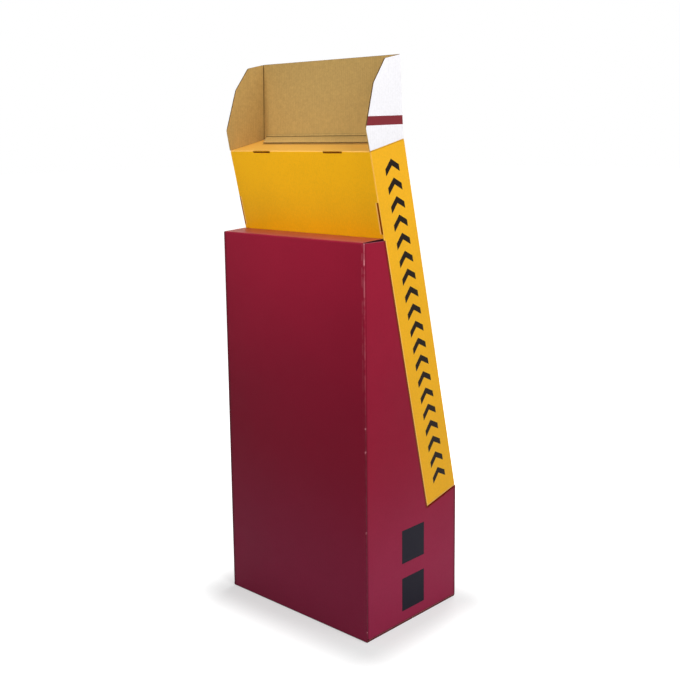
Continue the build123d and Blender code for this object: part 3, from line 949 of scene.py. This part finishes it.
def fluted_edge(flute, start, end, out, thickness):
    """A row of flutes on a cut edge, from start to end along its middle, standing out of the board."""
    board = bpy.context.scene.stand_board
    bpy.ops.object.select_all(action="DESELECT")
    flute.select_set(True)
    bpy.context.view_layer.objects.active = flute
    bpy.ops.object.duplicate(linked=False)
    edge = bpy.context.active_object
    run = end - start
    count = round(run.length / board.flute_pitch)
    edge.scale = (run.length / count, thickness - board.edge_paper, board.edge_proud)
    bpy.ops.object.transform_apply(location=False, rotation=False, scale=True)
    row = edge.modifiers.new("row", "ARRAY")
    row.count = count
    row.use_merge_vertices = True
    row.merge_threshold = MERGE_REACH
    paper = edge.modifiers.new("paper", "SOLIDIFY")
    paper.thickness = board.edge_paper
    paper.offset = 0
    for modifier in ("row", "paper"):
        bpy.ops.object.modifier_apply(modifier=modifier)
    ahead = run.normalized()
    turn = Matrix((ahead, out.cross(ahead), out)).transposed().to_4x4()
    edge.matrix_world = Matrix.Translation(start) @ turn
    bpy.ops.object.transform_apply(location=True, rotation=True, scale=True)
    return edge


def join_edges(name, edges, material):
    """Joins the cut edges of a node to one piece of bare board that rides with it."""
    bpy.ops.object.select_all(action="DESELECT")
    for edge in edges:
        edge.select_set(True)
    piece = edges[0]
    bpy.context.view_layer.objects.active = piece
    if len(edges) > 1:
        bpy.ops.object.join()
    piece.name = name
    bpy.ops.object.mode_set(mode="EDIT")
    bpy.ops.mesh.select_all(action="SELECT")
    bpy.ops.mesh.normals_make_consistent(inside=False)
    bpy.ops.object.mode_set(mode="OBJECT")
    piece.data.materials.clear()
    piece.data.materials.append(material)
    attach(piece, BODY)


def faces_of(node, test):
    """Corners of the flat faces of a CAD node whose normal passes a test, listed by that normal."""
    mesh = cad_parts[node].data
    found = {}
    for face in mesh.polygons:
        if test(face.normal):
            normal = tuple(round(part, NORMAL_DIGITS) for part in face.normal)
            found.setdefault(normal, []).extend(mesh.vertices[i].co for i in face.vertices)
    return found


def is_slope(normal):
    """True of the header's upper cut edges, which face up and back."""
    return abs(normal.x) < SLOPE_SIDEWAYS and normal.y > SLOPE_BACK and normal.z > SLIGHTLY


def is_flap_edge(normal):
    """True of the free edge of the header's flap, which faces back and a little down."""
    steepest, flattest = FLAP_EDGE_DROP
    return normal.y > FACING and steepest < normal.z < flattest


def header_edge_lines():
    """Cut edges of the header: top of the panel, slopes of both wings and the free edge of the flap."""
    board = bpy.context.scene.stand_board
    lean, wide = header_axes()
    wing = extent("header_card", wide)[1] - board.header_board / 2
    panel = extent("header_card", lean)[0] + board.header_board / 2
    wing_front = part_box("header_card")[0].y + WING_ROOM
    lines = []
    for normal, corners in faces_of("header_card", is_slope).items():
        out = Vector(normal).normalized()
        level = out.dot(corners[0])
        reach = [corner.y for corner in corners if abs(corner.x) > WING_INSIDE]
        if not reach or max(reach) - min(reach) < SLOPE_LEAST:
            continue
        ends = []
        for y in (max(min(reach), wing_front), max(reach)):
            z = (level - out.y * y) / out.z
            ends.append(Vector(((wing - wide.y * y - wide.z * z) / wide.x, y, z)))
        for side in (-1, 1):
            lines.append((*(Vector((side * end.x, end.y, end.z)) for end in ends), out))
        if out.z > FACING:
            y, z = Matrix((lean.yz, out.yz)).inverted() @ Vector((panel, level))
            half = ends[0].x - PANEL_ROOM
            lines.append((Vector((-half, y, z)), Vector((half, y, z)), out))
    for normal, corners in faces_of("header_card", is_flap_edge).items():
        half = min(abs(corner.x) for corner in corners)
        middle = sum(corners, Vector()) / len(corners)
        ends = [Vector((x, middle.y, middle.z)) for x in (-half, half)]
        lines.append((*ends, Vector(normal).normalized()))
    return lines


class STAND_OT_cut_edges(bpy.types.Operator):
    """Flutes that show at the cut edges of the boards"""

    bl_idname = "stand.cut_edges"
    bl_label = "Cut edges"

    def execute(self, context):
        board = context.scene.stand_board
        flute = one_flute()
        material = kraft_finish("cut_kraft", "cut")
        edges = [fluted_edge(flute, *line, board.header_board) for line in header_edge_lines()]
        join_edges("header_cut_edges", edges, material)
        up, out = tray_axes()
        for node in SHELVES:
            top = extent(node, up)[1]
            lip = extent(node, out)[1] - board.tray_board / 2 - THIN
            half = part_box(node)[1].x - LIP_ROOM
            middle = up * top + out * lip
            ends = [middle + Vector((x, 0, 0)) for x in (-half, half)]
            join_edges(node + "_cut_edge", [fluted_edge(flute, *ends, up, board.tray_board)], material)
        bpy.ops.object.select_all(action="DESELECT")
        flute.select_set(True)
        bpy.ops.object.delete()
        return {"FINISHED"}


class STAND_OT_finish_base(bpy.types.Operator):
    """Print and wear of the base box"""

    bl_idname = "stand.finish_base"
    bl_label = "Finish base box"

    def execute(self, context):
        dress("base_box", base_finish())
        return {"FINISHED"}


class STAND_OT_finish_tray(bpy.types.Operator):
    """Print of the leaning tray"""

    bl_idname = "stand.finish_tray"
    bl_label = "Finish tray"

    def execute(self, context):
        dress("product_tray", tray_finish())
        return {"FINISHED"}


class STAND_OT_finish_shelves(bpy.types.Operator):
    """Print of the shelves"""

    bl_idname = "stand.finish_shelves"
    bl_label = "Finish shelves"

    def execute(self, context):
        material = shelf_finish()
        for node in SHELVES:
            dress(node, material)
        return {"FINISHED"}


class STAND_OT_finish_header(bpy.types.Operator):
    """White liner and stripe of the header card"""

    bl_idname = "stand.finish_header"
    bl_label = "Finish header card"

    def execute(self, context):
        dress("header_card", header_finish())
        return {"FINISHED"}


class STAND_OT_finish_support(bpy.types.Operator):
    """Bare board of the support inside the base"""

    bl_idname = "stand.finish_support"
    bl_label = "Finish support"

    def execute(self, context):
        dress("support_partition", kraft_finish("plain_kraft", "kraft"))
        return {"FINISHED"}


def floor_finish():
    """White floor that keeps the shadow, with a painted shadow where it glows less near the base, fades to
    plain white and gives little light back to the stand.
    """
    stage = bpy.context.scene.stand_stage
    f = Finish("stage_floor")
    path = f.add("ShaderNodeLightPath").outputs
    seen = f.most(path["Is Camera Ray"], path["Is Glossy Ray"])
    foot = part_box("base_box")[1]
    sides = ((f.x, -stage.shadow_shift, foot.x), (f.y, stage.shadow_shift, foot.y))
    beside = [f.most(f.math("SUBTRACT", f.off(part, middle), reach), 0.0) for part, middle, reach in sides]
    away = f.math("SQRT", f.math("ADD", *(f.both(side, side) for side in beside)))
    shader = f.add("ShaderNodeBsdfPrincipled")
    f.put(shader.inputs["Base Color"], f.mix(seen, linear(stage.floor_bounce), linear(stage.floor_seen)))
    f.put(shader.inputs["Roughness"], 1.0)
    f.put(shader.inputs["Specular IOR Level"], 0.0)
    f.put(shader.inputs["Emission Color"], WHITE)
    # Painted shadow: the floor glows less close to the base
    glow = f.ramp(away, 0.0, stage.shadow_reach, to_low=0.48)
    f.put(shader.inputs["Emission Strength"], f.both(seen, glow))
    output = f.add("ShaderNodeOutputMaterial")
    f.put(output.inputs["Surface"], shader.outputs[0])
    return f.material


def studio_world(ambient):
    """White to the camera and to reflections, a plain soft light to everything else."""
    world = bpy.data.worlds.new("studio")
    bpy.context.scene.world = world
    world.use_nodes = True
    nodes = world.node_tree.nodes
    links = world.node_tree.links
    nodes.clear()
    path = nodes.new("ShaderNodeLightPath")
    seen = path.outputs["Is Camera Ray"]
    for kind in ("Is Glossy Ray", "Is Transmission Ray"):
        either = nodes.new("ShaderNodeMath")
        either.operation = "MAXIMUM"
        links.new(seen, either.inputs[0])
        links.new(path.outputs[kind], either.inputs[1])
        seen = either.outputs[0]
    mix = nodes.new("ShaderNodeMixShader")
    links.new(seen, mix.inputs[0])
    for socket, strength in ((mix.inputs[1], ambient), (mix.inputs[2], 1.0)):
        light = nodes.new("ShaderNodeBackground")
        light.inputs["Color"].default_value = WHITE
        light.inputs["Strength"].default_value = strength
        links.new(light.outputs[0], socket)
    output = nodes.new("ShaderNodeOutputWorld")
    links.new(mix.outputs[0], output.inputs["Surface"])


def area_light(name, place, aim, size, power, spread=pi):
    """A round soft light that points at its aim."""
    light = bpy.data.lights.new(name, "AREA")
    light.shape = "DISK"
    light.size = size
    light.energy = power
    light.spread = spread
    lamp = bpy.data.objects.new(name, light)
    lamp.location = place
    lamp.rotation_euler = (aim - place).to_track_quat("-Z", "Y").to_euler()
    bpy.context.scene.collection.objects.link(lamp)


class STAND_OT_stage(bpy.types.Operator):
    """Floor, lights, background and camera"""

    bl_idname = "stand.stage"
    bl_label = "Set the stage"

    def execute(self, context):
        stage = context.scene.stand_stage
        bpy.ops.object.select_all(action="DESELECT")
        bpy.ops.mesh.primitive_plane_add(size=stage.floor_size)
        floor = context.active_object
        floor.name = "stage_floor"
        floor.data.materials.append(floor_finish())
        studio_world(stage.ambient)
        area_light("side_light", stage.side_place, stage.light_aim, stage.light_size, stage.side_power)
        area_light(
            "top_light", stage.top_place, stage.top_aim, stage.top_size, stage.top_power, stage.top_spread
        )
        area_light("front_light", stage.front_place, stage.light_aim, stage.light_size, stage.front_power)

        camera = bpy.data.objects.new("camera", bpy.data.cameras.new("camera"))
        camera.data.lens = stage.lens
        camera.data.shift_y = stage.camera_shift
        camera.matrix_world = (
            Matrix.Translation(stage.camera_place)
            @ Matrix.Rotation(stage.camera_heading, 4, "Z")
            @ Matrix.Rotation(pi / 2 - stage.camera_drop, 4, "X")
            @ Matrix.Rotation(-stage.camera_roll, 4, "Z")
        )
        context.scene.collection.objects.link(camera)
        context.scene.camera = camera
        context.scene.view_settings.view_transform = "Standard"
        return {"FINISHED"}


OPERATORS = (
    STAND_OT_finish_base,
    STAND_OT_finish_tray,
    STAND_OT_finish_shelves,
    STAND_OT_finish_header,
    STAND_OT_finish_support,
    STAND_OT_cut_edges,
    STAND_OT_stage,
)


class STAND_PT_panel(bpy.types.Panel):
    """Steps and settings of the display stand"""

    bl_idname = "STAND_PT_panel"
    bl_label = "Display stand"
    bl_space_type = "VIEW_3D"
    bl_region_type = "UI"
    bl_category = "Display stand"

    def draw(self, context):
        for group in SETTINGS:
            settings = getattr(context.scene, group)
            for name in settings.__annotations__:
                self.layout.prop(settings, name)
        for operator in OPERATORS:
            self.layout.operator(operator.bl_idname)


SETTINGS = {
    "stand_inks": StandInks,
    "stand_print": StandPrint,
    "stand_wear": StandWearAndLight,
    "stand_board": StandBoard,
    "stand_stage": StandStage,
}


def register():
    for group, kind in SETTINGS.items():
        bpy.utils.register_class(kind)
        setattr(bpy.types.Scene, group, PointerProperty(type=kind))
    for kind in (*OPERATORS, STAND_PT_panel):
        bpy.utils.register_class(kind)


def unregister():
    for kind in (STAND_PT_panel, *reversed(OPERATORS)):
        bpy.utils.unregister_class(kind)
    for group, kind in SETTINGS.items():
        delattr(bpy.types.Scene, group)
        bpy.utils.unregister_class(kind)


def main():
    register()
    bpy.ops.stand.finish_base()
    bpy.ops.stand.finish_tray()
    bpy.ops.stand.finish_shelves()
    bpy.ops.stand.finish_header()
    bpy.ops.stand.finish_support()
    bpy.ops.stand.cut_edges()
    bpy.ops.stand.stage()


if __name__ == "__main__":
    main()
